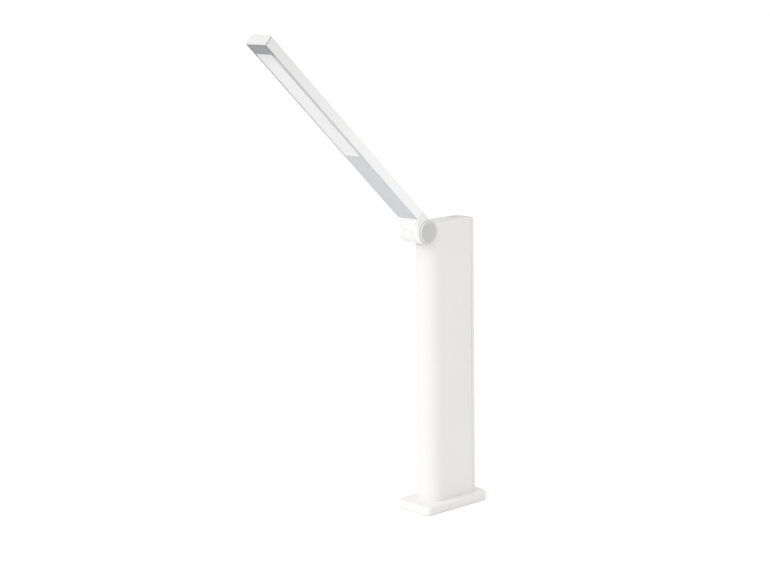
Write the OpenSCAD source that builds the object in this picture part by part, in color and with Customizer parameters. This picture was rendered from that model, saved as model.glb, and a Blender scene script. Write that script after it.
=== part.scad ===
// Folding desk lamp: a slim arm with a light panel, a friction hinge, a flat column and a foot plate.
// Millimetres. +Z is up, X runs along the hinge, and the arm reaches towards -Y.
// The origin is the middle of the foot's footprint, on the table.

/* [Column] */
// Height of the column's top above the table
col_h = 240; // [210:5:300]
// Width of the column across the hinge
col_w = 24; // [24:0.5:28]
// Depth of the column, front to back
col_d = 55; // [52:1:68]
// Corner radius at the column's back
col_back_r = 8; // [6:0.5:9]
// Wall of the column's shell and back cover
col_wall = 1.8; // [1.5:0.1:2.1]
// Rolled edge round the column's top
top_edge = 0.8; // [0.4:0.1:1]
// Distance from the column's back to the seam of the back cover
seam_depth = 8; // [8:0.5:12]
// Thickness of the lid let into the column's top
lid_t = 2; // [1.6:0.1:2.4]
// Rim of the column that shows round the lid
lid_rim = 1.2; // [1:0.1:1.4]

/* [Hinge] */
// Radius of the hinge barrel
barrel_r = 10; // [9.5:0.25:11]
// How far each end of the barrel stands out beyond the arm's side
barrel_over = 1; // [0.6:0.1:2]
// How far the hinge axis lies ahead of the column's front
hinge_out = 2.5; // [1.5:0.5:4]
// How far the hinge axis lies below the column's top
hinge_drop = 6; // [5:0.5:8]
// Width of the middle knuckle, which belongs to the column
mid_w = 8.8; // [8:0.2:9.6]
// Gap between neighbouring knuckles
knuckle_gap = 0.15; // [0.1:0.05:0.4]
// Gap between the barrel and its cradle
cradle_gap = 0.3; // [0.3:0.1:0.6]
// Radius of the hinge pin
pin_r = 2.5; // [2:0.1:2.8]
// Running clearance between the pin and its bush, on the radius
pin_clear = 0.05; // [0.02:0.01:0.1]
// Outer radius of the bush in the middle knuckle
bush_r = 4; // [3.6:0.1:4.4]
// Radius of the round end caps
cap_r = 8.6; // [7.9:0.1:8.8]
// How far an end cap stands out of the barrel
cap_out = 1.6; // [1.6:0.1:3]
// Rounding of an end cap's rim
cap_edge = 0.7; // [0.6:0.1:1.5]
// Depth of the dish in an end cap's face
cap_dish = 0.5; // [0.3:0.1:0.8]

/* [Arm] */
// Width of the arm
arm_w = 23; // [22:0.5:24]
// Thickness of the arm
arm_t = 9.5; // [9:0.25:10.5]
// Height of the arm's top face above the barrel's crown, square to the arm
arm_proud = 0.35; // [0.2:0.05:0.6]
// Angle of the arm above horizontal, as it stands
arm_angle = 44; // [10:1:80]
// Distance from the hinge axis to the square end of the arm's housing
neck_len = 15.5; // [14:0.5:18]
// Gap between the tip of the folded arm and the foot
tip_gap = 1; // [0.8:0.1:5]
// Wall of the arm's housing
arm_wall = 1.2; // [1:0.1:1.4]
// Thickness of the plates that close the arm's underside
plate_t = 1.4; // [1.2:0.1:1.8]
// Thickness of their edges, which lap the walls of the housing
edge_t = 0.5; // [0.4:0.1:0.8]
// Rounding of the arm's upper edges
arm_top_r = 2.2; // [1:0.1:3]
// Rounding of the arm's lower edges
arm_low_r = 0.4; // [0.3:0.1:0.8]

/* [Light] */
// Distance from the hinge axis to the start of the light panel
light_start = 94; // [80:1:110]
// Length of the end bar beyond the light panel, tip plate included
end_bar = 12; // [9:0.5:20]
// Width of the rim beside the light panel
rim_w = 2.6; // [1.8:0.1:3.4]
// Thickness of the plate at the arm's tip
tip_plate_t = 1.6; // [1.4:0.1:3]
// Width of the seam in front of that plate
tip_seam = 0.5; // [0.2:0.1:0.8]
// Thickness of the light panel
panel_t = 1.6; // [1.5:0.1:1.9]
// Number of LEDs along the arm
led_count = 24; // [12:1:30]

/* [Foot] */
// Thickness of the foot, mat included
foot_h = 7; // [6.5:0.5:9]
// How far the foot stands out in front of the column
foot_front = 11.5; // [10:0.5:25]
// How far the foot stands out behind the column
foot_back = 5.5; // [4:0.5:15]
// How far the foot stands out beside the column
foot_side = 7.5; // [6:0.5:15]
// Corner radius at the foot's front
foot_front_r = 4; // [3.5:0.5:9]
// Corner radius at the foot's back
foot_back_r = 10; // [6:0.5:13]
// Rolled edge round the foot's top
foot_edge = 1.2; // [0.6:0.1:1.4]
// Wall and top of the foot's shell
foot_wall = 2; // [1.6:0.1:2.2]
// Thickness of the rubber mat
mat_t = 0.5; // [0.4:0.1:0.8]
// Thickness of the plate that closes the foot from below
cover_t = 1; // [0.8:0.1:1.4]

/* [Key and socket] */
// Width of the key across the column
key_w = 14; // [10:0.5:15]
// Length of the key along the column's depth
key_d = 14; // [10:0.5:15]
// Distance from the column's back to the middle of the key
key_back = 11.5; // [11:0.5:14]
// Travel of the key
key_travel = 0.5; // [0.3:0.05:0.7]
// Height of the charging socket above the foot
port_rise = 17; // [15:1:25]
// Width of the charging socket's mouth
port_w = 9; // [8:0.5:10]
// Height of the charging socket's mouth
port_t = 3.2; // [2.8:0.1:3.6]

/* [Battery] */
// Radius of the round cell
cell_r = 9.2; // [8.8:0.1:9.2]
// Length of the round cell
cell_len = 65; // [50:1:70]

/* [Hidden] */
$fn = 64;
far = 400;
fit = 0.1;
hairline = 0.25;

white = [0.93, 0.93, 0.92];
grey = [0.62, 0.63, 0.65];
dark = [0.25, 0.26, 0.28];
steel = [0.72, 0.73, 0.75];

foot_w = col_w + 2 * foot_side;
foot_d = col_d + foot_front + foot_back;
col_y = (foot_front - foot_back) / 2;
col_front = col_y - col_d / 2;
col_back = col_y + col_d / 2;
col_len = col_h - foot_h;
seam_y = col_back - seam_depth;
hinge_y = col_front - hinge_out;
hinge_z = col_h - hinge_drop;
barrel_w = arm_w + 2 * barrel_over;

// Heights in the arm's own frame, measured from the hinge axis
arm_top = barrel_r + arm_proud;
arm_low = arm_top - arm_t;
plate_top = arm_low + plate_t;
roof = arm_top - arm_wall;
arm_reach = hinge_z - foot_h - tip_gap;
light_end = arm_reach - end_bar;
shell_end = arm_reach - tip_plate_t;
arm_in = arm_w - 2 * arm_wall;

// Knuckles, pin and caps along the hinge axis
side_x = mid_w / 2 + knuckle_gap;
bore_r = cap_r - 1.1;
washer_r = bore_r - 1.2;
washer_t = 0.35;
washer_dish = 0.2;
washer_count = 4;
stack_t = washer_count * (washer_t + washer_dish);
nut_t = 2.4;
nut_r = 4.6;
head_t = 2.4;
head_r = 4.8;
pin_tail = 0.2;
pin_room = 0.3;
seat_x = barrel_w / 2 - pin_room - pin_tail - nut_t - stack_t;
cap_wall = 1;
cap_plug = 2.4;
dish_rim = 0.4;
dish_flat = 1.2;

// Spigot of the knuckle piece inside the arm
spigot_len = 24;
spigot_low = plate_top + 0.2;
spigot_screw_in = 15;
spigot_screw_s = neck_len + spigot_screw_in;
spigot_screw_x = 5.5;
boss_low = spigot_low + 2.6;
wire_r = 1.8;
wire_h = (arm_low + arm_top) / 2;

// Middle bracket: the web passes below the axis, clear of the neck in every pose
web_hi = 1;
web_lo = 6;
neck_gap = 0.3;
bracket_t = 3;
bracket_y = barrel_r + cradle_gap + col_wall + 1.2;
bracket_drop = 27;
bracket_w = col_w - 2 * col_wall - 3;
bracket_screw_x = 5;
bracket_screw_z = 22.5;
bracket_screw_len = 5;
gusset_x = 3;
gusset_t = 1.6;
gusset_out = 5;
gusset_drop = 10;

// Light
led_t = 0.7;
led_w = 3.5;
led_len = 2.8;
led_margin = 4;
led_board_t = 1;
led_board_w = 12;
tray_gap = 1;
tray_wall = 0.6;
tray_slot = 2.4;
tray_slope = 3;
lead_r = 0.6;
lead_x = 0.7;
plug_len = 2.6;
plug_w = 4;
plug_room = 1;
flange_t = 0.6;
tray_low = plate_top + flange_t;
tray_top = roof - led_board_t;
plug_start = light_start - plug_room - plug_len;

// Screws
m3_r = 1.45;
m2_r = 1;
boss_wall = 1.9;
boss_r = m3_r + boss_wall;
floor_t = 3;
boss_h = 12;
screw_room = 3;
snap_len = 5;
snap_t = 1.1;
front_room = 5.35;
back_room = 2.65;
foot_screw_front = col_front + col_wall + boss_r + front_room;
foot_screw_back = seam_y - snap_len - boss_r - back_room;
ballast_gap = 0.4;
mat_inset = 1.2;

// Electronics
board_t = 1.6;
port_len = 9;
port_z = foot_h + port_rise;
board_y = col_back - col_wall - 8.5;
board_low = foot_h + floor_t + 3;
board_h = 54;
board_w = col_w - 2 * col_wall - 2.4;
board_front = board_y - board_t;
post_x = board_w / 2 - 2.8;
post_r = 2.2;
board_screw_len = 5;
coil_w = 6;
coil_t = 3;
coil_z = 24;
chip_w = 5;
chip_t = 1.2;
chip_z = 34;
can_r = 2;
can_h = 4;
can_x = 5;
can_z = 36;
diode_w = 3.5;
diode_t = 1.8;
diode_z = 16;
light_rise = 9;
light_r = 1.1;
cell_y = col_front + col_w / 2 + 4.5;
cradle_low = foot_h + floor_t + boss_h + 6;
cradle_t = 2;
cradle_y = cell_y + cell_r + fit;
shelf_t = 2;
cell_rise = 3;
cradle_h = cell_len + 8;
strap_w = 6;
rail_t = 1.2;
key_y = col_back - key_back;
key_r = 4;
key_low = 0.2;
key_gap = 0.2;
key_body = 3;
key_flange = 1.1;
key_dish = 0.25;
stem_r = 1.7;
switch_drop = 9;
switch_z = col_h - switch_drop;
switch_h = 3.4;
switch_w = 6;
switch_board_t = 1.2;
switch_post_x = 5.5;
switch_post_r = 1.6;
switch_post_gap = 2;

// Point p turned by angle a about the origin
function turned(p, a) = [p[0] * cos(a) - p[1] * sin(a), p[0] * sin(a) + p[1] * cos(a)];
// Angle at which a line from point p touches a circle of radius r, on the side given by +1 or -1
function touch_angle(p, r, side) = atan2(p[1], p[0]) + side * acos(r / norm(p));
// Point at angle a on a circle of radius r
function on_circle(r, a) = [r * cos(a), r * sin(a)];

low_corner = [-neck_len, arm_low];
top_corner = [-neck_len, arm_top];
low_touch = touch_angle(low_corner, barrel_r, 1);
top_touch = touch_angle(top_corner, barrel_r, -1);
// A line that should touch a circle ends this far past the touching point and this far inside it
past = 3;
inside = 0.02;

module in_arm_frame() {
  translate([0, hinge_y, hinge_z])
    rotate([-arm_angle, 0, 0])
      children();
}

module at_hinge() {
  translate([0, hinge_y, hinge_z])
    children();
}

// A flat outline in Y and Z, carried along X from x0 to x1
module along_x(x0, x1) {
  translate([x0, 0, 0])
    rotate([90, 0, 90])
      linear_extrude(x1 - x0)
        children();
}

// A flat outline in X and height, carried along the arm from s0 to s1
module along_arm(s0, s1) {
  translate([0, -s0, 0])
    rotate([90, 0, 0])
      linear_extrude(s1 - s0)
        children();
}

// Rectangle about x = 0 with one radius at its front corners and one at its back corners
module slab_outline(w, y0, y1, rf, rb) {
  middle = (y0 + rf + y1 - rb) / 2;
  translate([-w / 2, y0 + rf])
    square([w, y1 - rb - y0 - rf]);
  if (w - 2 * rf > 0.01)
    translate([-w / 2 + rf, y0])
      square([w - 2 * rf, middle - y0]);
  translate([-w / 2 + rb, middle])
    square([w - 2 * rb, y1 - middle]);
  for (side = w - 2 * rf > 0.01 ? [-1, 1] : [0])
    translate([side * (w / 2 - rf), y0 + rf])
      circle(rf);
  for (side = [-1, 1])
    translate([side * (w / 2 - rb), y1 - rb])
      circle(rb);
}

// Section of a slab from its inside out to its edge, rolled over at the top with radius e
module edge_profile(r, h, e) {
  square([r - e, h]);
  square([r, h - e]);
  translate([r - e, h - e])
    circle(e, $fn = 32);
}

// Slab of that outline whose top edge is rolled over: four straight bars and four turned corners
module soft_slab(w, y0, y1, h, rf, rb, e) {
  translate([0, y1 - rb, 0])
    rotate([90, 0, 0])
      linear_extrude(y1 - rb - y0 - rf)
        for (side = [0, 1])
          mirror([side, 0])
            edge_profile(w / 2, h, e);
  for (side = [0, 1])
    mirror([side, 0, 0]) {
      translate([w / 2 - rf, y0 + rf, 0])
        rotate([0, 0, -90])
          rotate_extrude(angle = 90)
            edge_profile(rf, h, e);
      translate([w / 2 - rb, y1 - rb, 0])
        rotate_extrude(angle = 90)
          edge_profile(rb, h, e);
    }
  if (w - 2 * rf > 0.01)
    translate([w / 2 - rf, y0 + rf, 0])
      rotate([90, 0, -90])
        linear_extrude(w - 2 * rf)
          edge_profile(rf, h, e);
  translate([-w / 2 + rb, y1 - rb, 0])
    rotate([90, 0, 90])
      linear_extrude(w - 2 * rb)
        edge_profile(rb, h, e);
}

// The foot's outline, drawn in by inset
module foot_outline(inset) {
  slab_outline(foot_w - 2 * inset, -foot_d / 2 + inset, foot_d / 2 - inset,
    max(0.5, foot_front_r - inset), max(0.5, foot_back_r - inset));
}

// The column's outline, drawn in by inset
module column_outline(inset) {
  slab_outline(col_w - 2 * inset, col_front + inset, col_back - inset,
    col_w / 2 - inset, max(0.5, col_back_r - inset));
}

module at_foot_screws() {
  for (y = [foot_screw_front, foot_screw_back])
    translate([0, y, 0])
      children();
}

module foot_shell() {
  color(white)
    difference() {
      translate([0, 0, mat_t])
        soft_slab(foot_w, -foot_d / 2, foot_d / 2, foot_h - mat_t, foot_front_r, foot_back_r, foot_edge);
      translate([0, 0, mat_t - 1])
        linear_extrude(foot_h - foot_wall - mat_t + 1)
          foot_outline(foot_wall);
      at_foot_screws()
        cylinder(r = m3_r + fit, h = far);
    }
}

module ballast_plate() {
  color(steel)
    difference() {
      translate([0, 0, mat_t + cover_t])
        linear_extrude(foot_h - foot_wall - mat_t - cover_t)
          foot_outline(foot_wall + ballast_gap);
      at_foot_screws()
        cylinder(r = 2 * m3_r + fit, h = far);
    }
}

module foot_cover() {
  color(dark)
    difference() {
      translate([0, 0, mat_t])
        linear_extrude(cover_t)
          foot_outline(foot_wall + fit);
      at_foot_screws()
        translate([0, 0, mat_t])
          cylinder(r1 = 2 * m3_r, r2 = 2 * m3_r - cover_t, h = cover_t);
    }
}

module grip_mat() {
  color(dark)
    linear_extrude(mat_t)
      foot_outline(foot_wall + mat_inset);
}

// Countersunk screws from below, into the column's bosses
module foot_screws() {
  head_h = m3_r;
  color(steel)
    at_foot_screws()
      translate([0, 0, mat_t]) {
        cylinder(r1 = 2 * m3_r, r2 = m3_r, h = head_h);
        cylinder(r = m3_r, h = foot_h + floor_t + boss_h - screw_room - mat_t);
      }
}

// Room that the barrel and the neck need between folded down and upright, grown by a wall
module cradle_profile(wall) {
  r = barrel_r + cradle_gap + wall;
  back = arm_top + cradle_gap + wall;
  start = on_circle(r - inside, low_touch + 90 - past);
  run = turned(low_corner - on_circle(barrel_r, low_touch), 90);
  end = start + run * 4;
  circle(r);
  polygon([[-far, 3 * barrel_r], [back, 3 * barrel_r], [back, 0], [0, 0], start, end, [-far, end[1]]]);
}

module cradle_space(wall) {
  at_hinge()
    along_x(-col_w, col_w)
      cradle_profile(wall);
}

module column_solid() {
  translate([0, 0, foot_h])
    soft_slab(col_w, col_front, col_back, col_len, col_w / 2, col_back_r, top_edge);
}

// Outline of the lid's seat: inside the rim, and behind the cradle's wall
module lid_outline(gap) {
  intersection() {
    column_outline(lid_rim + gap);
    translate([-col_w, hinge_y + arm_top + cradle_gap + lid_rim + gap])
      square([2 * col_w, col_d]);
  }
}

module lid_seat() {
  translate([0, 0, col_h - lid_t])
    linear_extrude(far)
      lid_outline(0);
}

// Web of the bracket, in Y and Z about the hinge axis
module web_profile(gap) {
  translate([0, -web_lo - gap])
    square([bracket_y + gap, web_lo - web_hi + 2 * gap]);
}

module bracket_boss_places() {
  for (side = [-1, 1])
    translate([side * bracket_screw_x, hinge_y + bracket_y, hinge_z - bracket_screw_z])
      rotate([90, 0, 0])
        children();
}

module column_hollow() {
  difference() {
    translate([0, 0, foot_h + floor_t])
      linear_extrude(far)
        column_outline(col_wall);
    cradle_space(col_wall);
  }
}

// Front and sides of the column: a U of one wall, with the cradle across its top front
module column_shell() {
  rail_x = col_w / 2 - col_wall;
  color(white)
    difference() {
      union() {
        difference() {
          column_solid();
          translate([-col_w, seam_y, 0])
            cube([2 * col_w, col_d, far]);
          column_hollow();
        }
        at_foot_screws()
          translate([0, 0, foot_h])
            cylinder(r = boss_r, h = floor_t + boss_h);
        intersection() {
          bracket_boss_places()
            cylinder(r = boss_r - 0.5, h = bracket_y);
          column_solid();
        }
        for (side = [-1, 1])
          for (y = [cradle_y - rail_t, cradle_y + cradle_t])
            translate([side * (rail_x - rail_t / 3) - rail_t / 2, y, foot_h + 1])
              cube([rail_t, rail_t, cradle_low + cradle_h + rail_t - foot_h]);
      }
      cradle_space(0);
      lid_seat();
      at_hinge()
        along_x(-side_x, side_x)
          web_profile(fit * 3);
      bracket_boss_places()
        cylinder(r = m3_r - 0.25, h = bracket_screw_len + 0.5);
      at_foot_screws()
        cylinder(r = m3_r, h = far / 2);
    }
}

module board_post_places() {
  for (side = [-1, 1])
    for (z = [board_low + 3, board_low + board_h - 4])
      translate([side * post_x, board_y, z])
        rotate([-90, 0, 0])
          children();
}

// Mouth of the charging socket, a slot with round ends, along +Y
module port_slot(w, t, len) {
  rotate([-90, 0, 0])
    linear_extrude(len) {
      square([w - t, t], center = true);
      for (side = [-1, 1])
        translate([side * (w - t) / 2, 0])
          circle(t / 2);
    }
}

// Back of the column, with snap flanges inside the shell's sides
module rear_cover() {
  flange_x = col_w / 2 - col_wall - fit;
  flange_z = foot_h + floor_t + 1;
  flange_h = col_len - floor_t - lid_t - 2;
  color(white)
    difference() {
      union() {
        difference() {
          column_solid();
          translate([-col_w, -far + seam_y + hairline, 0])
            cube([2 * col_w, far, far]);
          translate([0, 0, foot_h + floor_t])
            linear_extrude(far)
              column_outline(col_wall);
        }
        for (side = [-1, 1])
          translate([side * (flange_x - snap_t / 2) - snap_t / 2, seam_y - snap_len, flange_z])
            cube([snap_t, snap_len + 3, flange_h]);
        for (side = [-1, 1])
          translate([side * (flange_x - 2 * fit) - snap_t / 2, seam_y + hairline, flange_z])
            cube([snap_t, 2, flange_h]);
        board_post_places()
          cylinder(r = post_r, h = col_back - col_wall - board_y + 0.5);
      }
      lid_seat();
      board_post_places()
        cylinder(r = m2_r, h = board_screw_len + 0.5);
      translate([0, board_y, port_z])
        port_slot(port_w + 6 * fit, port_t + 6 * fit, far);
      translate([0, board_y, port_z + light_rise])
        rotate([-90, 0, 0])
          cylinder(r = light_r + fit, h = far);
    }
}

// Key opening in the lid, and the key's own outline, drawn in by inset
module key_outline(inset) {
  translate([0, key_y])
    slab_outline(key_w - 2 * inset, -key_d / 2 + inset, key_d / 2 - inset, key_r - inset, key_r - inset);
}

module switch_posts() {
  for (side = [-1, 1])
    translate([side * switch_post_x, key_y - key_d / 2 - switch_post_gap - switch_post_r, 0])
      children();
}

module top_cap() {
  color(white)
    difference() {
      union() {
        translate([0, 0, col_h - lid_t])
          linear_extrude(lid_t)
            lid_outline(fit);
        switch_posts()
          translate([0, 0, switch_z])
            cylinder(r = switch_post_r, h = col_h - lid_t - switch_z + 0.5);
      }
      translate([0, 0, col_h - far / 2])
        linear_extrude(far)
          key_outline(-key_gap);
    }
}

// The key: a plate with a rolled edge and a round finger recess, a flange under the lid and a stem
module power_key() {
  key_top = col_h - key_low;
  stem_z = switch_z + switch_h + key_travel + 0.1;
  color(grey)
    difference() {
      union() {
        translate([0, key_y, key_top - key_body])
          soft_slab(key_w, -key_d / 2, key_d / 2, key_body, key_r, key_r, 0.4);
        translate([0, 0, key_top - key_body])
          linear_extrude(col_h - lid_t - fit - key_top + key_body)
            key_outline(-key_flange);
        translate([0, key_y, stem_z])
          cylinder(r = stem_r, h = key_top - 1 - stem_z);
      }
      translate([0, key_y, key_top - key_dish])
        cylinder(r = min(key_w, key_d) / 2 - 2, h = 1);
    }
}

// Board on two posts under the lid, which reaches back under the switch
module switch_board() {
  front = key_y - key_d / 2 - switch_post_gap - 2 * switch_post_r - 1;
  back = key_y + switch_w / 2 + 2;
  color([0.12, 0.4, 0.25])
    translate([-board_w / 2 + 1, front, switch_z - switch_board_t])
      cube([board_w - 2, back - front, switch_board_t]);
}

// Tact switch, drawn with its plunger pushed in
module key_switch() {
  color(dark)
    translate([0, key_y, switch_z]) {
      translate([-switch_w / 2, -switch_w / 2, 0])
        cube([switch_w, switch_w, switch_h - 0.5]);
      cylinder(r = stem_r, h = switch_h);
    }
}

// Die-cast bracket: middle knuckle, web and a plate that is screwed inside the column
module hinge_bracket() {
  color(white)
    difference() {
      at_hinge()
        difference() {
          union() {
            along_x(-mid_w / 2, mid_w / 2)
              circle(barrel_r);
            along_x(-mid_w / 2, mid_w / 2)
              web_profile(0);
            translate([-bracket_w / 2, bracket_y, -bracket_drop])
              cube([bracket_w, bracket_t, bracket_drop - web_hi]);
            for (side = [-1, 1])
              along_x(side * gusset_x - gusset_t / 2, side * gusset_x + gusset_t / 2)
                polygon([[bracket_y + 1, -web_lo + 1], [bracket_y + 1, -bracket_drop + gusset_drop],
                  [bracket_y + bracket_t + gusset_out, -web_lo + 1]]);
          }
          along_x(-mid_w, mid_w)
            circle(bush_r);
        }
      bracket_boss_places()
        translate([0, 0, -far / 2])
          cylinder(r = m3_r + fit, h = far);
    }
}

module hinge_bush() {
  color([0.78, 0.62, 0.32])
    at_hinge()
      along_x(-mid_w / 2, mid_w / 2)
        difference() {
          circle(bush_r);
          circle(pin_r + pin_clear);
        }
}

module bracket_screws() {
  color(steel)
    bracket_boss_places() {
      translate([0, 0, -bracket_t - 1.6])
        cylinder(r = 2.6, h = 1.6);
      translate([0, 0, -bracket_t])
        cylinder(r = m3_r - 0.25, h = bracket_t + bracket_screw_len);
    }
}

// Plate across the column with a shelf above and below the cell
module battery_cradle() {
  plate_w = col_w - 2 * col_wall;
  shelf_w = plate_w - 3;
  shelf_front = cell_y - cell_r + 1;
  color(dark)
    difference() {
      union() {
        translate([-plate_w / 2 + fit / 2, cradle_y, cradle_low])
          cube([plate_w - fit, cradle_t, cradle_h]);
        for (z = [cradle_low + cell_rise - shelf_t, cradle_low + cell_rise + cell_len + 2 * fit])
          translate([-shelf_w / 2, shelf_front, z])
            cube([shelf_w, cradle_y - shelf_front + 1, shelf_t]);
      }
      for (z = [cradle_low + cell_len / 5, cradle_low + cell_len * 4 / 5])
        translate([-strap_w / 2, cradle_y - 1, z])
          cube([strap_w, cradle_t + 2, strap_w]);
    }
}

module battery_cell() {
  color([0.25, 0.45, 0.7])
    translate([0, cell_y, cradle_low + cell_rise]) {
      cylinder(r = cell_r - 0.3, h = cell_len - 1.2);
      translate([0, 0, 0.4])
        cylinder(r = cell_r, h = cell_len - 2.4);
      cylinder(r = 3, h = cell_len);
    }
}

module control_board() {
  color([0.12, 0.4, 0.25])
    difference() {
      translate([-board_w / 2, board_front, board_low])
        cube([board_w, board_t, board_h]);
      board_post_places()
        translate([0, 0, -far / 2])
          cylinder(r = m2_r + fit, h = far);
    }
}

// Coil, chip, can and diode on the control board, and the plug of the wires
module board_parts() {
  color(dark) {
    translate([-coil_w / 2, board_front - coil_t, board_low + coil_z])
      cube([coil_w, coil_t, coil_w]);
    translate([-chip_w, board_front - chip_t, board_low + chip_z])
      cube([chip_w, chip_t, chip_w]);
    translate([can_x, board_front, board_low + can_z])
      rotate([90, 0, 0])
        cylinder(r = can_r, h = can_h);
    translate([0, board_front - diode_t, board_low + diode_z])
      cube([diode_w, diode_t, diode_t]);
    translate([-plug_w / 2, board_front - plug_len, board_low + board_h - 2 * plug_w])
      cube([plug_w, plug_len, plug_w]);
  }
}

module board_screws() {
  color(steel)
    board_post_places() {
      translate([0, 0, -board_t - 1.2])
        cylinder(r = 1.8, h = 1.2);
      translate([0, 0, -board_t])
        cylinder(r = m2_r, h = board_t + board_screw_len);
    }
}

// Metal shell of the socket with its tongue
module usb_port() {
  color(steel)
    translate([0, board_y, port_z]) {
      difference() {
        port_slot(port_w, port_t, port_len);
        translate([0, 1.5, 0])
          port_slot(port_w - 0.6, port_t - 0.6, port_len);
      }
      translate([-port_w / 2 + 1.3, 1, -0.35])
        cube([port_w - 2.6, port_len - 2.5, 0.7]);
    }
}

module charge_light() {
  color([0.85, 0.9, 0.95])
    translate([0, board_y, port_z + light_rise])
      rotate([-90, 0, 0])
        cylinder(r = light_r, h = col_back - board_y - fit);
}

// Pair of wires that runs up from the plug on the control board to the switch board
module column_leads() {
  low = board_low + board_h - plug_w;
  color([0.7, 0.15, 0.12])
    for (side = [-1, 1])
      translate([side * lead_x, board_front - plug_len / 2, low])
        cylinder(r = lead_r, h = switch_z - switch_board_t - low);
}

// Neck and barrel of the arm seen along the hinge: a circle with two lines that touch it
module neck_profile() {
  top = on_circle(barrel_r - inside, top_touch - past);
  low = on_circle(barrel_r - inside, low_touch + past);
  polygon([low_corner, top_corner, top, [0, 0], low]);
}

// Section of the arm: rounded above with radius r1, below with radius r0
module arm_outline(w, z0, z1, r0, r1) {
  translate([-w / 2, z0 + r0])
    square([w, z1 - r1 - z0 - r0]);
  translate([-w / 2 + r0, z0])
    square([w - 2 * r0, (z1 - z0) / 2]);
  translate([-w / 2 + r1, (z0 + z1) / 2])
    square([w - 2 * r1, (z1 - z0) / 2]);
  for (side = [-1, 1]) {
    translate([side * (w / 2 - r0), z0 + r0])
      circle(r0, $fn = 32);
    translate([side * (w / 2 - r1), z1 - r1])
      circle(r1, $fn = 32);
  }
}

// Section of the closed arm
module arm_section() {
  arm_outline(arm_w, arm_low, arm_top, arm_low_r, arm_top_r);
}

module at_knuckle_screws() {
  for (side = [-1, 1])
    translate([side * spigot_screw_x, -spigot_screw_s, 0])
      children();
}

// Barrel ends, neck and spigot of the arm
module arm_knuckle() {
  color(white)
    in_arm_frame()
      difference() {
        union() {
          for (x0 = [-barrel_w / 2, side_x])
            along_x(x0, x0 + barrel_w / 2 - side_x)
              circle(barrel_r);
          intersection() {
            along_x(-arm_w / 2, arm_w / 2)
              neck_profile();
            along_arm(-1, neck_len)
              arm_outline(arm_w, -barrel_r - arm_low_r, arm_top, arm_low_r, arm_top_r);
          }
          along_arm(neck_len - 1, neck_len + spigot_len)
            translate([-arm_in / 2 + fit, spigot_low])
              square([arm_in - 2 * fit, roof - fit - spigot_low]);
        }
        along_x(-side_x, side_x)
          circle(barrel_r + neck_gap);
        along_x(-barrel_w, barrel_w)
          circle(pin_r);
        for (x0 = [-barrel_w, seat_x])
          along_x(x0, x0 + barrel_w - seat_x)
            circle(bore_r);
        along_arm(0, far)
          translate([0, wire_h])
            circle(wire_r);
        at_knuckle_screws() {
          cylinder(r = m2_r + 0.2, h = far);
          translate([0, 0, boss_low])
            cylinder(r = m2_r + 1.3, h = far);
          cylinder(r = 2.1, h = spigot_low + 1.2);
        }
      }
}

module knuckle_screws() {
  color(steel)
    in_arm_frame()
      at_knuckle_screws() {
        translate([0, 0, spigot_low])
          cylinder(r = 1.9, h = 1.2);
        translate([0, 0, spigot_low])
          cylinder(r = m2_r, h = roof - spigot_low);
      }
}

module hinge_pin() {
  color(steel)
    in_arm_frame() {
      along_x(-seat_x - 1, seat_x + stack_t + nut_t + pin_tail)
        circle(pin_r);
      along_x(-seat_x - head_t, -seat_x)
        circle(head_r);
    }
}

// Dished washers, stacked in turn rim to rim and bore to bore
module friction_washers() {
  pitch = washer_t + washer_dish;
  color(steel)
    in_arm_frame()
      rotate([0, 90, 0])
        for (i = [0 : washer_count - 1]) {
          tilt = i % 2 == 0 ? washer_dish : 0;
          translate([0, 0, seat_x + i * pitch])
            rotate_extrude()
              polygon([[pin_r, washer_dish - tilt], [washer_r, tilt], [washer_r, tilt + washer_t],
                [pin_r, washer_dish - tilt + washer_t]]);
        }
}

module hinge_nut() {
  color(steel)
    in_arm_frame()
      along_x(seat_x + stack_t, seat_x + stack_t + nut_t)
        difference() {
          circle(nut_r, $fn = 6);
          circle(pin_r);
        }
}

// Round cap: a rounded rim, a dished face and a hollow spigot into the barrel
module end_cap() {
  edge = min(cap_edge, cap_out);
  dish_r = cap_r - edge - dish_rim;
  dish_ball = (dish_r * dish_r + cap_dish * cap_dish) / (2 * cap_dish);
  color(grey)
    rotate([0, 90, 0])
      rotate_extrude()
        difference() {
          union() {
            square([cap_r - edge, cap_out]);
            square([cap_r, cap_out - edge]);
            translate([cap_r - edge, cap_out - edge])
              circle(edge, $fn = 32);
            translate([0, -cap_plug])
              square([bore_r, cap_plug + cap_out / 4]);
          }
          translate([0, cap_out - cap_dish + dish_ball])
            circle(dish_ball, $fn = 128);
          translate([-1, cap_out - cap_dish - inside])
            square([1 + dish_flat, cap_out]);
          translate([-1, -far])
            square([1 + bore_r - cap_wall, far + cap_out - cap_dish - cap_wall]);
          translate([-far, -far])
            square([far, 2 * far]);
          translate([-1, -far])
            square([2 * cap_r, far - cap_plug]);
          translate([bore_r, -far])
            square([cap_r, far]);
        }
}

module left_end_cap() {
  in_arm_frame()
    translate([-barrel_w / 2, 0, 0])
      mirror([1, 0, 0])
        end_cap();
}

module right_end_cap() {
  in_arm_frame()
    translate([barrel_w / 2, 0, 0])
      end_cap();
}

// U-shaped top shell of the arm, with two bosses over the spigot
module arm_housing() {
  color(white)
    in_arm_frame()
      difference() {
        union() {
          along_arm(neck_len, shell_end - tip_seam)
            difference() {
              arm_section();
              translate([-arm_w, arm_low - 1])
                square([2 * arm_w, 1 + edge_t]);
              translate([-arm_in / 2, arm_low - 1])
                square([arm_in, 1 + roof - arm_low]);
            }
          at_knuckle_screws()
            translate([0, 0, boss_low + fit])
              cylinder(r = m2_r + 1.2, h = roof - boss_low);
        }
        at_knuckle_screws()
          cylinder(r = m2_r, h = roof);
      }
}

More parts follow.
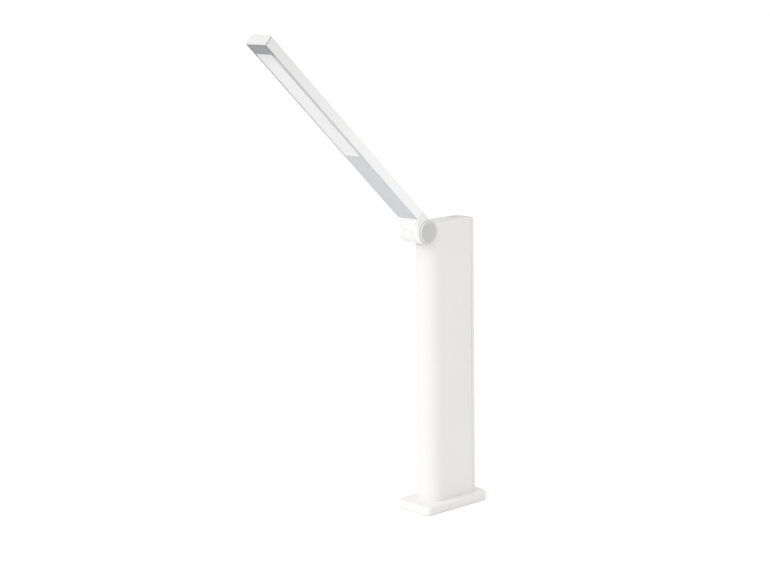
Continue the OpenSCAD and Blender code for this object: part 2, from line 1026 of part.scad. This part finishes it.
// Plate at the arm's tip, with a plug that sits in the housing
module tip_cap() {
  edge = 0.6;
  plug = 5;
  color(white)
    in_arm_frame() {
      hull() {
        along_arm(shell_end, arm_reach - edge)
          arm_section();
        along_arm(shell_end, arm_reach)
          arm_outline(arm_w - 2 * edge, arm_low + edge, arm_top - edge, arm_low_r / 2, arm_top_r - edge);
      }
      along_arm(shell_end - plug, shell_end + 0.5)
        translate([-arm_in / 2, plate_top])
          square([arm_in, roof - plate_top]);
    }
}

// Section of a plate that closes the underside: its edges lap the walls, its middle sits between them
module plate_outline() {
  intersection() {
    arm_section();
    union() {
      translate([-arm_w, arm_low - 1])
        square([2 * arm_w, 1 + edge_t]);
      translate([-arm_in / 2 + fit, arm_low - 1])
        square([arm_in - 2 * fit, 1 + plate_t]);
    }
  }
}

module underside_cover() {
  rib_t = 1;
  rib_h = 2;
  rib_end = 3;
  color([0.8, 0.81, 0.84])
    in_arm_frame() {
      along_arm(neck_len + hairline, light_start - hairline)
        plate_outline();
      for (side = [-1, 1])
        along_arm(neck_len + spigot_len + rib_end, light_start - 2 * rib_end - plug_len)
          translate([side * (arm_in / 2 - rib_t) - rib_t / 2, plate_top - plate_t / 2])
            square([rib_t, plate_t / 2 + rib_h]);
    }
}

// Grey frame on three sides of the light panel, with the bar at the tip
module light_bezel() {
  open_w = arm_w - 2 * rim_w;
  color(grey)
    in_arm_frame()
      difference() {
        along_arm(light_start, shell_end - tip_seam)
          plate_outline();
        along_arm(light_start - 1, light_end)
          translate([-open_w / 2, arm_low - 1])
            square([open_w, arm_t]);
      }
}

// Opal panel: the part that shows, and a wider flange that rests on the bezel
module diffuser() {
  open_w = arm_w - 2 * rim_w;
  color([0.97, 0.97, 0.95])
    in_arm_frame() {
      along_arm(light_start + fit, light_end - fit)
        translate([-open_w / 2 + fit, arm_low])
          square([open_w - 2 * fit, panel_t]);
      along_arm(light_start + fit, light_end + 1)
        translate([-arm_in / 2 + 2 * fit, plate_top])
          square([arm_in - 4 * fit, flange_t]);
    }
}

// Trough with sloping sides, open to the panel and slotted for the LEDs
module reflector_tray() {
  half = arm_in / 2 - 3 * fit;
  color([0.98, 0.98, 0.98])
    in_arm_frame()
      along_arm(light_start + tray_gap, light_end - tray_gap)
        for (side = [0, 1])
          mirror([side, 0])
            polygon([[tray_slot, tray_top], [half, tray_top], [half, tray_low], [half - tray_wall, tray_low],
              [tray_slot + tray_slope, tray_top - tray_wall], [tray_slot, tray_top - tray_wall]]);
}

// Metal-core board that runs back over the cover, where the plug of the wires hangs from it
module led_board() {
  color([0.9, 0.9, 0.92])
    in_arm_frame() {
      along_arm(plug_start - plug_room, light_end - tray_gap)
        translate([-led_board_w / 2, tray_top])
          square([led_board_w, led_board_t]);
      along_arm(plug_start, plug_start + plug_len)
        translate([-plug_w / 2, wire_h - plug_w / 4])
          square([plug_w, tray_top - wire_h + plug_w / 4 + 0.1]);
    }
}

module led_chips() {
  pitch = (light_end - light_start - 2 * led_margin) / led_count;
  color([0.95, 0.85, 0.4])
    in_arm_frame()
      for (i = [0 : led_count - 1]) {
        s = light_start + led_margin + (i + 0.5) * pitch;
        along_arm(s - led_len / 2, s + led_len / 2)
          translate([-led_w / 2, tray_top - led_t])
            square([led_w, led_t]);
      }
}

// Pair of wires from the hinge through the knuckle's neck to the plug
module arm_leads() {
  start = barrel_r + 1.5;
  color([0.7, 0.15, 0.12])
    in_arm_frame()
      for (side = [-1, 1])
        translate([side * lead_x, -start, wire_h])
          rotate([90, 0, 0])
            cylinder(r = lead_r, h = plug_start - start);
}

foot_shell();
ballast_plate();
foot_cover();
grip_mat();
foot_screws();
column_shell();
rear_cover();
top_cap();
hinge_bracket();
hinge_bush();
bracket_screws();
battery_cradle();
battery_cell();
control_board();
board_parts();
board_screws();
usb_port();
charge_light();
switch_board();
key_switch();
column_leads();
power_key();
arm_knuckle();
knuckle_screws();
hinge_pin();
friction_washers();
hinge_nut();
left_end_cap();
right_end_cap();
arm_housing();
tip_cap();
underside_cover();
light_bezel();
diffuser();
reflector_tray();
led_board();
led_chips();
arm_leads();
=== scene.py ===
import math

import bpy
import numpy as np
from mathutils import Matrix, Vector


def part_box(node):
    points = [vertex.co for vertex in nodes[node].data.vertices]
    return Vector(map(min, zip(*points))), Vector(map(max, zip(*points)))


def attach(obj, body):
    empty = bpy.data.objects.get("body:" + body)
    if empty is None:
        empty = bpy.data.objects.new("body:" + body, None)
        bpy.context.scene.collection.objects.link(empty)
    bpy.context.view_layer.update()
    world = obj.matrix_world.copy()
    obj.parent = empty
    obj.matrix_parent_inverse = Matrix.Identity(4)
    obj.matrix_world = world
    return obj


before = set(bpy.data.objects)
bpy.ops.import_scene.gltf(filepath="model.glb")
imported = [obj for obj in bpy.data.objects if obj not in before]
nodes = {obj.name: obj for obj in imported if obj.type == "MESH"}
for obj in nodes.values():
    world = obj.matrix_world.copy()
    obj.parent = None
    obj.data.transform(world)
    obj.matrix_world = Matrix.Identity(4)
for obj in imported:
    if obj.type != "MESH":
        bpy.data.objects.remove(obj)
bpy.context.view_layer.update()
scene = bpy.context.scene
print("frame loaded:", len(nodes), "nodes")

# Camera at the photograph's viewing angle
cameraSetup = {
    "azimuth": 47.7041,  # degrees from the front, towards +X
    "elevation": 10.572,
    "roll": -0.8211,
    "distance": 1.5323,  # metres from the aim point
    "sideShift": -0.0486288,  # of the aim point, along the picture's width
    "aimHeight": 0.1827586,
    "axisY": 0.003,  # the column's middle
    "focalPixels": 1861.57,
    "frameWidth": 770,
    "sensor": 36.0,  # millimetres
    "clip": (0.01, 50),  # metres
}


def placeCamera(setup):
    az, el, roll = (math.radians(setup[k]) for k in ("azimuth", "elevation", "roll"))
    back = Vector((math.sin(az) * math.cos(el), -math.cos(az) * math.cos(el), math.sin(el)))
    right = Vector((math.cos(az), math.sin(az), 0))
    up = back.cross(right)
    turnedRight = math.cos(roll) * right + math.sin(roll) * up
    turnedUp = -math.sin(roll) * right + math.cos(roll) * up
    aim = Vector((0, setup["axisY"], setup["aimHeight"])) + right * setup["sideShift"]
    camData = bpy.data.cameras.new("camera")
    camData.sensor_width = setup["sensor"]
    camData.lens = setup["focalPixels"] / setup["frameWidth"] * setup["sensor"]
    camData.clip_start, camData.clip_end = setup["clip"]
    cam = bpy.data.objects.new("camera", camData)
    scene.collection.objects.link(cam)
    turn = Matrix((turnedRight, turnedUp, back)).transposed().to_4x4()
    cam.matrix_world = Matrix.Translation(aim + back * setup["distance"]) @ turn
    scene.camera = cam


placeCamera(cameraSetup)
print("camera placed")


# A material with its node tree, its shader and the coordinates that its patterns read
def newMaterial(name):
    mat = bpy.data.materials.new(name)
    mat.use_nodes = True
    tree = mat.node_tree
    tree.nodes.clear()
    out = tree.nodes.new("ShaderNodeOutputMaterial")
    shader = tree.nodes.new("ShaderNodeBsdfPrincipled")
    tree.links.new(shader.outputs[0], out.inputs[0])
    coords = tree.nodes.new("ShaderNodeTexCoord")
    return mat, tree, shader, coords


# Small helpers for the node trees; each of the next five returns the socket that the next step reads
def stretched(tree, place, scale):
    mapping = tree.nodes.new("ShaderNodeMapping")
    mapping.inputs["Scale"].default_value = scale
    tree.links.new(place, mapping.inputs["Vector"])
    return mapping.outputs[0]


def noise(tree, place, scale, detail=2.0, rough=0.5):
    node = tree.nodes.new("ShaderNodeTexNoise")
    node.inputs["Scale"].default_value = scale
    node.inputs["Detail"].default_value = detail
    node.inputs["Roughness"].default_value = rough
    tree.links.new(place, node.inputs["Vector"])
    return node.outputs["Fac"]


def spread(tree, value, low, high, fromLow=0.3, fromHigh=0.7):
    node = tree.nodes.new("ShaderNodeMapRange")
    node.inputs["From Min"].default_value = fromLow
    node.inputs["From Max"].default_value = fromHigh
    node.inputs["To Min"].default_value = low
    node.inputs["To Max"].default_value = high
    tree.links.new(value, node.inputs["Value"])
    return node.outputs[0]


def combine(tree, operation, a, b=0):
    node = tree.nodes.new("ShaderNodeMath")
    node.operation = operation
    for socket, value in zip(node.inputs, (a, b)):
        if isinstance(value, (int, float)):
            socket.default_value = value
        else:
            tree.links.new(value, socket)
    return node.outputs[0]


def mixColours(tree, factor, a, b, blend="MIX"):
    mix = tree.nodes.new("ShaderNodeMix")
    mix.data_type = "RGBA"
    mix.blend_type = blend
    for socket, colour in ((mix.inputs[6], a), (mix.inputs[7], b)):
        if isinstance(colour, tuple):
            socket.default_value = (*colour, 1)
        else:
            tree.links.new(colour, socket)
    tree.links.new(factor, mix.inputs[0])
    return mix.outputs[2]


def addBump(tree, shader, height, strength, distance):
    bump = tree.nodes.new("ShaderNodeBump")
    bump.inputs["Strength"].default_value = strength
    bump.inputs["Distance"].default_value = distance
    tree.links.new(height, bump.inputs["Height"])
    tree.links.new(bump.outputs[0], shader.inputs["Normal"])


def shade(colour, factor):
    return tuple(c * factor for c in colour)


# What all the moulded plastics share
plasticDetail = {
    "flowScale": 18,  # slow shading from the gate
    "grainInTone": 0.35,  # how much of the grain shows in the colour
    "toneFrom": 0.45,
    "toneTo": 0.9,
    "polishScale": 70,
    "polishSpread": 0.05,  # of the roughness, either way
    "scuffStretch": (40, 900, 260),  # long along x, thin along y
    "scuffFrom": 0.68,
    "scuffTo": 0.74,
    "scuffRough": 0.05,  # added to the roughness
    "grainDepth": 0.0001,
    "opalDepth": 0.001,  # how far light wanders inside the opal panel
    "ior": 1.46,
}


# Satin moulded plastic: a fine spark-eroded grain, slow flow shading from the gate, patches of
# slightly different polish, and a few hair-thin scuffs that only change the gloss
def plasticNodes(name, look):
    detail = plasticDetail
    mat, tree, shader, coords = newMaterial(name)
    place = coords.outputs["Object"]
    flow = noise(tree, place, detail["flowScale"])
    grain = noise(tree, place, look["grainScale"], detail=3, rough=0.6)
    polish = noise(tree, place, detail["polishScale"], detail=3, rough=0.55)
    cloud = combine(tree, "ADD", flow, combine(tree, "MULTIPLY", grain, detail["grainInTone"]))
    tone = spread(tree, cloud, 0, 1, detail["toneFrom"], detail["toneTo"])
    tree.links.new(mixColours(tree, tone, shade(look["colour"], 1 - look["vary"]), look["colour"]),
                   shader.inputs["Base Color"])
    scuffLine = noise(tree, stretched(tree, place, detail["scuffStretch"]), 1, detail=1, rough=0.4)
    scuffs = spread(tree, scuffLine, 0, detail["scuffRough"], detail["scuffFrom"], detail["scuffTo"])
    low, high = look["rough"] - detail["polishSpread"], look["rough"] + detail["polishSpread"]
    rough = combine(tree, "ADD", spread(tree, polish, low, high), scuffs)
    tree.links.new(rough, shader.inputs["Roughness"])
    shader.inputs["IOR"].default_value = detail["ior"]
    if "subsurface" in look:
        shader.inputs["Subsurface Weight"].default_value = look["subsurface"]
        shader.inputs["Subsurface Radius"].default_value = (1.0, 1.0, 1.0)
        shader.inputs["Subsurface Scale"].default_value = detail["opalDepth"]
    addBump(tree, shader, grain, look["bump"], detail["grainDepth"])
    return mat, tree, shader, coords


plasticLooks = {
    "whiteShell": {
        "colour": (0.858, 0.847, 0.824), "vary": 0.02, "rough": 0.42, "grainScale": 2600, "bump": 0.06,
    },
    "lidWhite": {
        "colour": (0.698, 0.697, 0.693), "vary": 0.02, "rough": 0.45, "grainScale": 2600, "bump": 0.08,
    },
    # painted shade: the underside cover is a grey-blue share of the white, for the shade on its downward
    # face
    "coverWhitePaintedShade": {
        "colour": (0.617, 0.628, 0.652), "vary": 0.03, "rough": 0.5, "grainScale": 2200, "bump": 0.1,
    },
    "reflectorWhite": {
        "colour": (0.88, 0.88, 0.88), "vary": 0.01, "rough": 0.3, "grainScale": 1500, "bump": 0.02,
    },
    "keyGrey": {
        "colour": (0.68, 0.68, 0.69), "vary": 0.02, "rough": 0.4, "grainScale": 2400, "bump": 0.06,
    },
    "innerBlack": {
        "colour": (0.03, 0.031, 0.033), "vary": 0.2, "rough": 0.5, "grainScale": 1200, "bump": 0.2,
    },
    "cellWrap": {
        "colour": (0.03, 0.12, 0.32), "vary": 0.08, "rough": 0.25, "grainScale": 500, "bump": 0.05,
    },
    "ledPhosphor": {
        "colour": (0.85, 0.66, 0.16), "vary": 0.1, "rough": 0.5, "grainScale": 3000, "bump": 0.1,
    },
    "lightPipe": {
        "colour": (0.75, 0.8, 0.86), "vary": 0.03, "rough": 0.15, "grainScale": 800, "bump": 0.02,
    },
    "leadRed": {
        "colour": (0.38, 0.012, 0.01), "vary": 0.1, "rough": 0.45, "grainScale": 900, "bump": 0.1,
    },
}
materials = {name: plasticNodes(name, look)[0] for name, look in plasticLooks.items()}
print("plain plastics made:", len(plasticLooks))


# Lays another colour over a finished one, as far as the factor says
def overlay(tree, shader, factor, colour, blend="MIX"):
    finished = shader.inputs["Base Color"].links[0].from_socket
    tree.links.new(mixColours(tree, factor, finished, colour, blend), shader.inputs["Base Color"])


# Takes a finished colour down to a share of itself, as far as the factor says
def darken(tree, shader, factor, share):
    overlay(tree, shader, factor, (share,) * 3, "MULTIPLY")


hingeAxis = {
    "y": -0.027,
    "z": 0.234,
    "armAngle": 44.0,  # degrees above horizontal, at rest
}


# How far a point lies behind the hinge axis, and how far above it
def fromHinge(tree, coords):
    place = tree.nodes.new("ShaderNodeSeparateXYZ")
    tree.links.new(coords.outputs["Object"], place.inputs[0])
    behind = combine(tree, "SUBTRACT", place.outputs[1], hingeAxis["y"])
    above = combine(tree, "SUBTRACT", place.outputs[2], hingeAxis["z"])
    return behind, above


# Distance from the hinge axis along the resting arm: sin(angle) * above - cos(angle) * behind
def alongArm(tree, coords):
    behind, above = fromHinge(tree, coords)
    angle = math.radians(hingeAxis["armAngle"])
    return combine(tree, "ADD", combine(tree, "MULTIPLY", behind, -math.cos(angle)),
                   combine(tree, "MULTIPLY", above, math.sin(angle)))


# Distance from the hinge axis on all sides: the root of behind squared plus above squared
def roundHinge(tree, coords):
    squares = [combine(tree, "MULTIPLY", value, value) for value in fromHinge(tree, coords)]
    return combine(tree, "SQRT", combine(tree, "ADD", *squares))


# Sizes of a normal's x between which a face comes to count as a side
sideFacing = {
    "arm": (0.4, 0.9),
    "barrel": (0.65, 0.9),
}


# How far a face looks sideways: the size of its normal's x
def lookingSideways(tree, coords):
    normal = tree.nodes.new("ShaderNodeSeparateXYZ")
    tree.links.new(coords.outputs["Normal"], normal.inputs[0])
    return combine(tree, "ABSOLUTE", normal.outputs[0])


# The arm's plastic carries painted shade along the arm: the housing is whiter towards the hinge and
# painted darker towards the tip, where less light falls on it; the bezel is paler in the thin rims beside
# the panel than in the solid bar at the tip, and its rims are painted darker towards the tip in the same
# way; and the opal panel greys over its last centimetre, painted shade beside the end bar. The housing's
# upper face and the tip's end are painted a shade darker than the sides, painted shade for how the light
# falls on them
def armPlastic(name, look):
    mat, tree, shader, coords = plasticNodes(name, look)
    along = alongArm(tree, coords)
    # painted shade along the arm, one fade at a time
    for start, end, share in look["fadesWithPaintedShade"]:
        darken(tree, shader, spread(tree, along, 0, 1, start, end), share)
    if "paintedFaceShade" in look:
        # painted shade: faces that don't look sideways are taken down to a share of their colour
        paintedShadeFaces = spread(tree, lookingSideways(tree, coords), 1, 0, *sideFacing["arm"])
        darken(tree, shader, paintedShadeFaces, look["paintedFaceShade"])
    return mat


# Each fade runs between two distances from the hinge axis, and ends in a share of the colour; the
# housing's, the rims' and the opal panel's fades are painted shade
armWhite = {
    "colour": (0.98, 0.98, 0.973), "vary": 0.015, "rough": 0.4, "grainScale": 2600, "bump": 0.06,
    # painted shade: the housing darkens towards the tip
    "fadesWithPaintedShade": [(0.09, 0.222, 0.84)],
}
armLooks = {
    # painted shade on the upper face and the tip's end, a share of the sides' colour
    "armWhite": {**armWhite, "paintedFaceShade": 0.855},
    "tipWhite": {**armWhite, "paintedFaceShade": 0.9},
    "bezelGrey": {
        "colour": (0.585, 0.592, 0.605), "vary": 0.03, "rough": 0.42, "grainScale": 2400, "bump": 0.08,
        # painted shade on the rims towards the tip, then the darker bar at the tip
        "fadesWithPaintedShade": [(0.13, 0.19, 0.88), (0.209, 0.2145, 0.56)],
    },
    "opalPanel": {
        "colour": (0.84, 0.841, 0.836), "vary": 0.01, "rough": 0.35, "grainScale": 1500, "bump": 0.04,
        # painted shade over the panel's last centimetre
        "subsurface": 0.25, "fadesWithPaintedShade": [(0.2, 0.211, 0.9)],
    },
}
materials.update({name: armPlastic(name, look) for name, look in armLooks.items()})


# The hinge's plastic, with painted shadow on the barrel's ends: a soft grey ring round the caps stands in
# for the shadow in the gap there
def knucklePlastic(name, look):
    mat, tree, shader, coords = plasticNodes(name, look)
    barrelEnd = spread(tree, lookingSideways(tree, coords), 0, 1, *sideFacing["barrel"])
    shadowRing = spread(tree, roundHinge(tree, coords), 1, 0, look["shadowRingFrom"], look["shadowRingTo"])
    darken(tree, shader, combine(tree, "MULTIPLY", shadowRing, barrelEnd), look["paintedRingShadow"])
    return mat


knuckleLook = {
    "colour": (0.898, 0.896, 0.884), "vary": 0.015, "rough": 0.4, "grainScale": 2600, "bump": 0.06,
    "shadowRingFrom": 0.0097,  # distances from the hinge axis
    "shadowRingTo": 0.0105,
    # painted shadow: the share of the colour left in the ring
    "paintedRingShadow": 0.78,
}
materials["knuckleWhite"] = knucklePlastic("knuckleWhite", knuckleLook)


# The end caps: a grey disc, with a painted highlight outside the disc's radius, where the rim is painted
# white for the light its edge catches
def capPlastic(name, look):
    mat, tree, shader, coords = plasticNodes(name, look)
    low, high = look["discRadius"] - look["blur"], look["discRadius"] + look["blur"]
    # painted highlight on the rim outside the disc
    overlay(tree, shader, spread(tree, roundHinge(tree, coords), 0, 1, low, high), look["paintedRimHighlight"])
    return mat


capLook = {
    "colour": (0.60, 0.60, 0.592), "vary": 0.03, "rough": 0.35, "grainScale": 2400, "bump": 0.06,
    # painted highlight: the rim's lit edge, painted white
    "paintedRimHighlight": (0.785, 0.785, 0.775),
    "discRadius": 0.0083,
    "blur": 0.0003,
}
materials["capGrey"] = capPlastic("capGrey", capLook)
print("arm, hinge and cap plastics made")

# What all the metals share
metalDetail = {
    "streakScale": 900,
    "streakStretch": (1, 12, 12),  # streaks run along x, unless a look says otherwise
    "streakRough": 0.08,  # of the roughness, either way
    "streakBump": 0.25,
    "streakDepth": 0.00005,
    "patchScale": 160,
    "tarnish": 0.82,
}


# Turned or plated metal: fine streaks along one direction over slow patches of tarnish
def metal(name, look):
    detail = metalDetail
    mat, tree, shader, coords = newMaterial(name)
    place = coords.outputs["Object"]
    drawn = stretched(tree, place, look.get("stretch", detail["streakStretch"]))
    streak = noise(tree, drawn, detail["streakScale"], rough=0.6)
    patch = spread(tree, noise(tree, place, detail["patchScale"], detail=3, rough=0.6), 0, 1)
    tarnished = shade(look["colour"], detail["tarnish"])
    tree.links.new(mixColours(tree, patch, tarnished, look["colour"]), shader.inputs["Base Color"])
    shader.inputs["Metallic"].default_value = 1
    low, high = look["rough"] - detail["streakRough"], look["rough"] + detail["streakRough"]
    tree.links.new(spread(tree, streak, low, high), shader.inputs["Roughness"])
    addBump(tree, shader, streak, detail["streakBump"], detail["streakDepth"])
    return mat


metalLooks = {
    "platedSteel": {"colour": (0.56, 0.57, 0.58), "rough": 0.32},
    "socketMetal": {"colour": (0.6, 0.6, 0.61), "rough": 0.26, "stretch": (12, 1, 12)},
    "contactGold": {"colour": (0.83, 0.6, 0.24), "rough": 0.25},
    "bushBronze": {"colour": (0.58, 0.36, 0.14), "rough": 0.4},
    "boardAluminium": {"colour": (0.8, 0.81, 0.82), "rough": 0.45},
}
materials.update({name: metal(name, look) for name, look in metalLooks.items()})


# Solder mask: a glossy green coat over tracks, which are straight bands that stop at random blocks,
# with small round lands between them
def circuitBoard(name, look):
    mat, tree, shader, coords = newMaterial(name)
    place = coords.outputs["Object"]
    wave = tree.nodes.new("ShaderNodeTexWave")
    wave.wave_type = "BANDS"
    wave.bands_direction = "X"
    wave.inputs["Scale"].default_value = look["trackScale"]
    tree.links.new(place, wave.inputs["Vector"])
    blocks = spread(tree, noise(tree, place, look["blockScale"], detail=0), 0, 1, *look["blockEdge"])
    bands = spread(tree, wave.outputs["Fac"], 0, 1, *look["trackEdge"])
    lines = combine(tree, "MULTIPLY", blocks, bands)
    dots = tree.nodes.new("ShaderNodeTexVoronoi")
    dots.inputs["Scale"].default_value = look["landScale"]
    dots.inputs["Randomness"].default_value = look["landScatter"]
    tree.links.new(place, dots.inputs["Vector"])
    lands = spread(tree, dots.outputs["Distance"], 1, 0, *look["landEdge"])
    tracked = mixColours(tree, lines, look["colour"], look["track"])
    tree.links.new(mixColours(tree, lands, tracked, look["land"]), shader.inputs["Base Color"])
    shader.inputs["Roughness"].default_value = look["rough"]
    addBump(tree, shader, lines, look["trackBump"], look["trackDepth"])
    return mat


boardLook = {
    "colour": (0.01, 0.1, 0.045),
    "track": (0.03, 0.2, 0.09),
    "land": (0.5, 0.5, 0.48),
    "trackScale": 180,
    "trackEdge": (0.7, 0.75),  # each edge is where the pattern's value goes from bare to covered
    "blockScale": 140,
    "blockEdge": (0.5, 0.52),
    "landScale": 420,
    "landEdge": (0.18, 0.22),
    "landScatter": 0.4,
    "rough": 0.3,
    "trackBump": 0.3,
    "trackDepth": 0.00004,
}
materials["circuit"] = circuitBoard("circuit", boardLook)


# Soft matt rubber: a coarse pebbled grain with a dull sheen and a little dust
def rubber(name, look):
    mat, tree, shader, coords = newMaterial(name)
    place = coords.outputs["Object"]
    cells = tree.nodes.new("ShaderNodeTexVoronoi")
    cells.inputs["Scale"].default_value = look["pebbleScale"]
    tree.links.new(place, cells.inputs["Vector"])
    dust = spread(tree, noise(tree, place, look["dustScale"], detail=4, rough=0.6), 0, 1)
    bare = shade(look["colour"], look["bareShade"])
    tree.links.new(mixColours(tree, dust, bare, look["colour"]), shader.inputs["Base Color"])
    shader.inputs["Roughness"].default_value = look["rough"]
    shader.inputs["Sheen Weight"].default_value = look["sheen"]
    addBump(tree, shader, cells.outputs["Distance"], look["pebbleBump"], look["pebbleDepth"])
    return mat


rubberLook = {
    "colour": (0.07, 0.07, 0.073),
    "bareShade": 0.85,  # of the colour, where no dust lies
    "dustScale": 60,
    "rough": 0.85,
    "sheen": 0.1,
    "pebbleScale": 1400,
    "pebbleBump": 0.4,
    "pebbleDepth": 0.0002,
}
materials["gripRubber"] = rubber("gripRubber", rubberLook)
print("metals, circuit board and rubber made")

# Which finish each CAD node gets
finishOf = {
    "whiteShell": ["foot_shell", "foot_cover", "column_shell", "rear_cover"],
    "armWhite": ["arm_housing"],
    "tipWhite": ["tip_cap"],
    "knuckleWhite": ["arm_knuckle", "hinge_bracket"],
    "lidWhite": ["top_cap"],
    "coverWhitePaintedShade": ["underside_cover"],
    "bezelGrey": ["light_bezel"],
    "opalPanel": ["diffuser"],
    "reflectorWhite": ["reflector_tray"],
    "capGrey": ["left_end_cap", "right_end_cap"],
    "keyGrey": ["power_key"],
    "innerBlack": ["battery_cradle", "board_parts", "key_switch"],
    "cellWrap": ["battery_cell"],
    "ledPhosphor": ["led_chips"],
    "lightPipe": ["charge_light"],
    "leadRed": ["column_leads", "arm_leads"],
    "platedSteel": [
        "ballast_plate", "foot_screws", "bracket_screws", "board_screws", "knuckle_screws", "hinge_pin",
        "friction_washers", "hinge_nut",
    ],
    "socketMetal": ["usb_port"],
    "bushBronze": ["hinge_bush"],
    "boardAluminium": ["led_board"],
    "circuit": ["control_board", "switch_board"],
    "gripRubber": ["grip_mat"],
}
for finish, members in finishOf.items():
    for member in members:
        for materialSlot in nodes[member].material_slots:
            materialSlot.material = materials[finish]
print("materials assigned to", sum(len(members) for members in finishOf.values()), "nodes")


# The faces of a square grid of n by n points, numbered row by row
def gridFaces(n):
    i, j = np.meshgrid(np.arange(n - 1), np.arange(n - 1), indexing="ij")
    corner = (i * n + j).ravel()
    return np.stack([corner, corner + n, corner + n + 1, corner + 1], axis=-1)


def meshObject(name, points, faces, material):
    mesh = bpy.data.meshes.new(name)
    mesh.from_pydata(points.tolist(), [], faces.tolist())
    mesh.materials.append(material)
    piece = bpy.data.objects.new(name, mesh)
    scene.collection.objects.link(piece)
    return piece


# Gold contacts in the charging socket, on both faces of its tongue
contactLook = {
    "count": 8,  # on each face
    "pitch": 0.0007,
    "width": 0.0004,
    "length": 0.0026,
    "raised": 0.00006,  # above the tongue
    "mouthGap": 0.0022,  # from the socket's mouth to the contacts' ends
    "tongue": 0.0007,  # thickness
    "gridPoints": 7,  # along each side of a contact
}


# Each contact is a low pillow: over u and v in -1 to 1, its height is raised * (1 - u^4) * (1 - v^4)
def makeContacts(look):
    low, high = (np.array(corner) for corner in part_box("usb_port"))
    middleX, middleZ = (low[0] + high[0]) / 2, (low[2] + high[2]) / 2
    n = look["gridPoints"]
    u, v = np.meshgrid(np.linspace(-1, 1, n), np.linspace(-1, 1, n), indexing="ij")
    height = look["raised"] * (1 - u**4) * (1 - v**4)
    column = (np.arange(look["count"]) - (look["count"] - 1) / 2) * look["pitch"]
    endY = high[1] - look["mouthGap"] - look["length"] / 2
    face, place = np.meshgrid([1.0, -1.0], column, indexing="ij")
    face, place = face.reshape(-1, 1, 1), place.reshape(-1, 1, 1)
    x = middleX + place + u[None] * look["width"] / 2
    y = endY + v[None] * look["length"] / 2 + 0 * place
    z = middleZ + face * (look["tongue"] / 2 + height[None])
    points = np.stack([x, y, z], axis=-1).reshape(-1, 3)
    upFaces = gridFaces(n)
    downFaces = upFaces[:, ::-1]  # turned round, so that they point outwards too
    pillows = [upFaces] * look["count"] + [downFaces] * look["count"]
    faces = np.concatenate([pillow + k * n * n for k, pillow in enumerate(pillows)])
    piece = meshObject("portContacts", points, faces, materials["contactGold"])
    piece.data.shade_smooth()
    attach(piece, "base")


makeContacts(contactLook)
print("socket contacts made")


# 1 for the rays that show the background: the camera's, and those by which metal and glass show it
def showingRays(tree):
    rays = tree.nodes.new("ShaderNodeLightPath")
    mirrored = combine(tree, "MAXIMUM", rays.outputs["Is Glossy Ray"], rays.outputs["Is Transmission Ray"])
    return combine(tree, "MAXIMUM", rays.outputs["Is Camera Ray"], mirrored)


floorLook = {
    "half": 8.0,  # of its width, in metres
    "gridPoints": 9,  # along each side
    "colour": 0.93,
    "lift": 0.19,  # added where the floor shows
}


# A flat square surface: x and y run over a grid and z is 0. It reflects light as pale paper, and it
# shows a little brighter than that, so that it ends in plain white
def makeFloor(look):
    n = look["gridPoints"]
    side = np.linspace(-look["half"], look["half"], n)
    x, y = np.meshgrid(side, side, indexing="ij")
    points = np.stack([x, y, np.zeros_like(x)], axis=-1).reshape(-1, 3)
    mat = bpy.data.materials.new("floorPaper")
    mat.use_nodes = True
    tree = mat.node_tree
    tree.nodes.clear()
    out = tree.nodes.new("ShaderNodeOutputMaterial")
    paper = tree.nodes.new("ShaderNodeBsdfDiffuse")
    paper.inputs["Color"].default_value = (look["colour"],) * 3 + (1,)
    glow = tree.nodes.new("ShaderNodeEmission")
    glow.inputs["Color"].default_value = (1, 1, 1, 1)
    tree.links.new(combine(tree, "MULTIPLY", showingRays(tree), look["lift"]), glow.inputs["Strength"])
    both = tree.nodes.new("ShaderNodeAddShader")
    tree.links.new(paper.outputs[0], both.inputs[0])
    tree.links.new(glow.outputs[0], both.inputs[1])
    tree.links.new(both.outputs[0], out.inputs[0])
    floor = meshObject("floor", points, gridFaces(n), mat)


worldLook = {"ambient": 0.80, "shown": 1.0}  # strength as light, and where the background shows


def makeWorld(look):
    world = bpy.data.worlds.new("studio")
    scene.world = world
    world.use_nodes = True
    tree = world.node_tree
    tree.nodes.clear()
    out = tree.nodes.new("ShaderNodeOutputWorld")
    sky = tree.nodes.new("ShaderNodeBackground")
    sky.inputs["Color"].default_value = (1, 1, 1, 1)
    strength = spread(tree, showingRays(tree), look["ambient"], look["shown"], 0, 1)
    tree.links.new(strength, sky.inputs["Strength"])
    tree.links.new(sky.outputs[0], out.inputs[0])


sunLook = {
    "azimuth": 2,  # degrees from the front, towards +X
    "elevation": 39,
    "softness": 55,  # degrees across
    "power": 1.17,
}


def addSun(name, look):
    data = bpy.data.lights.new(name, "SUN")
    data.energy = look["power"]
    data.angle = math.radians(look["softness"])
    lamp = bpy.data.objects.new(name, data)
    scene.collection.objects.link(lamp)
    az, el = math.radians(look["azimuth"]), math.radians(look["elevation"])
    fromSun = Vector((-math.sin(az) * math.cos(el), math.cos(az) * math.cos(el), -math.sin(el)))
    lamp.rotation_euler = fromSun.to_track_quat("-Z", "Y").to_euler()


makeFloor(floorLook)
makeWorld(worldLook)
addSun("front", sunLook)
scene.view_settings.view_transform = "Standard"
print("floor, world and light ready")
